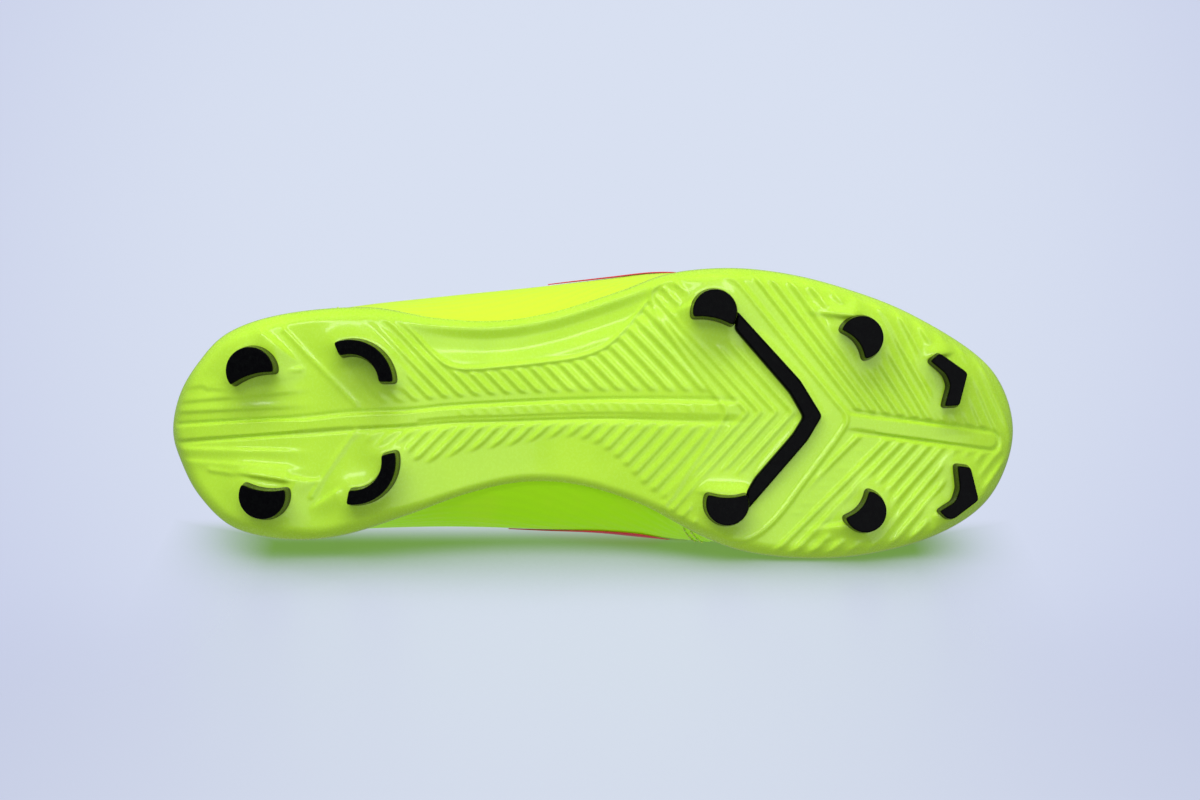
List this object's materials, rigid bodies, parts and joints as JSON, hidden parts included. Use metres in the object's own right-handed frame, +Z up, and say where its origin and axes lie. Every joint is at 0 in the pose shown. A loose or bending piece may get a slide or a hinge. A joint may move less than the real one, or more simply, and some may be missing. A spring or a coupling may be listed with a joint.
{
  "type": "soccer cleat",
  "caption": "Right firm-ground soccer cleat, low cut, with a moulded plate, shaped black studs, a synthetic upper, laced throat and padded collar.",
  "frame": {"origin": "on the ground plane of the stud tips, below the middle of the shoe", "axes": "+Z up, toe towards -Y, heel towards +Y, medial side towards +X"},
  "size_m": [0.0987, 0.2893, 0.1157],
  "materials": {
    "plate_tpu": "moulded, glossy, slightly translucent",
    "stud_tpu": "moulded, glossy",
    "upper_synthetic": "coated synthetic, satin, fine grain",
    "overlay_film": "bonded film, satin",
    "accent_film": "bonded film, satin",
    "lace_cord": "braided",
    "lining_mesh": "padded knit",
    "tongue_textile": "knit with bonded edge",
    "stiffener": "thermoformed sheet",
    "board": "needled fibre board",
    "foam": "textile-covered foam"
  },
  "bodies": {
    "shoe": {"outsole_plate": "plate_tpu", "chevron_bar": "stud_tpu", "stud_heel_rear_lateral": "stud_tpu", "stud_heel_rear_medial": "stud_tpu", "stud_heel_front_lateral": "stud_tpu", "stud_heel_front_medial": "stud_tpu", "stud_ball_lateral": "stud_tpu", "stud_ball_medial": "stud_tpu", "stud_mid_lateral": "stud_tpu", "stud_mid_medial": "stud_tpu", "stud_toe_lateral": "stud_tpu", "stud_toe_medial": "stud_tpu", "vamp": "upper_synthetic", "heel_panel": "upper_synthetic", "lateral_quarter": "upper_synthetic", "medial_quarter": "upper_synthetic", "lateral_eyestay": "overlay_film", "medial_eyestay": "overlay_film", "lace": "lace_cord", "collar_lining": "lining_mesh", "heel_counter": "stiffener", "toe_puff": "stiffener", "insole_board": "board", "sockliner": "foam", "tongue_anchor_patch": "lining_mesh", "lateral_accent": "accent_film", "medial_accent": "accent_film"},
    "tongue_flap": {"tongue": "tongue_textile"}
  },
  "joints": [
    {"name": "tongue_hinge", "type": "hinge", "parent": "shoe", "child": "tongue_flap", "pos_m": [0.002, -0.043, 0.0565], "axis": [-1, 0, 0], "range_deg": [0, 8]}
  ]
}
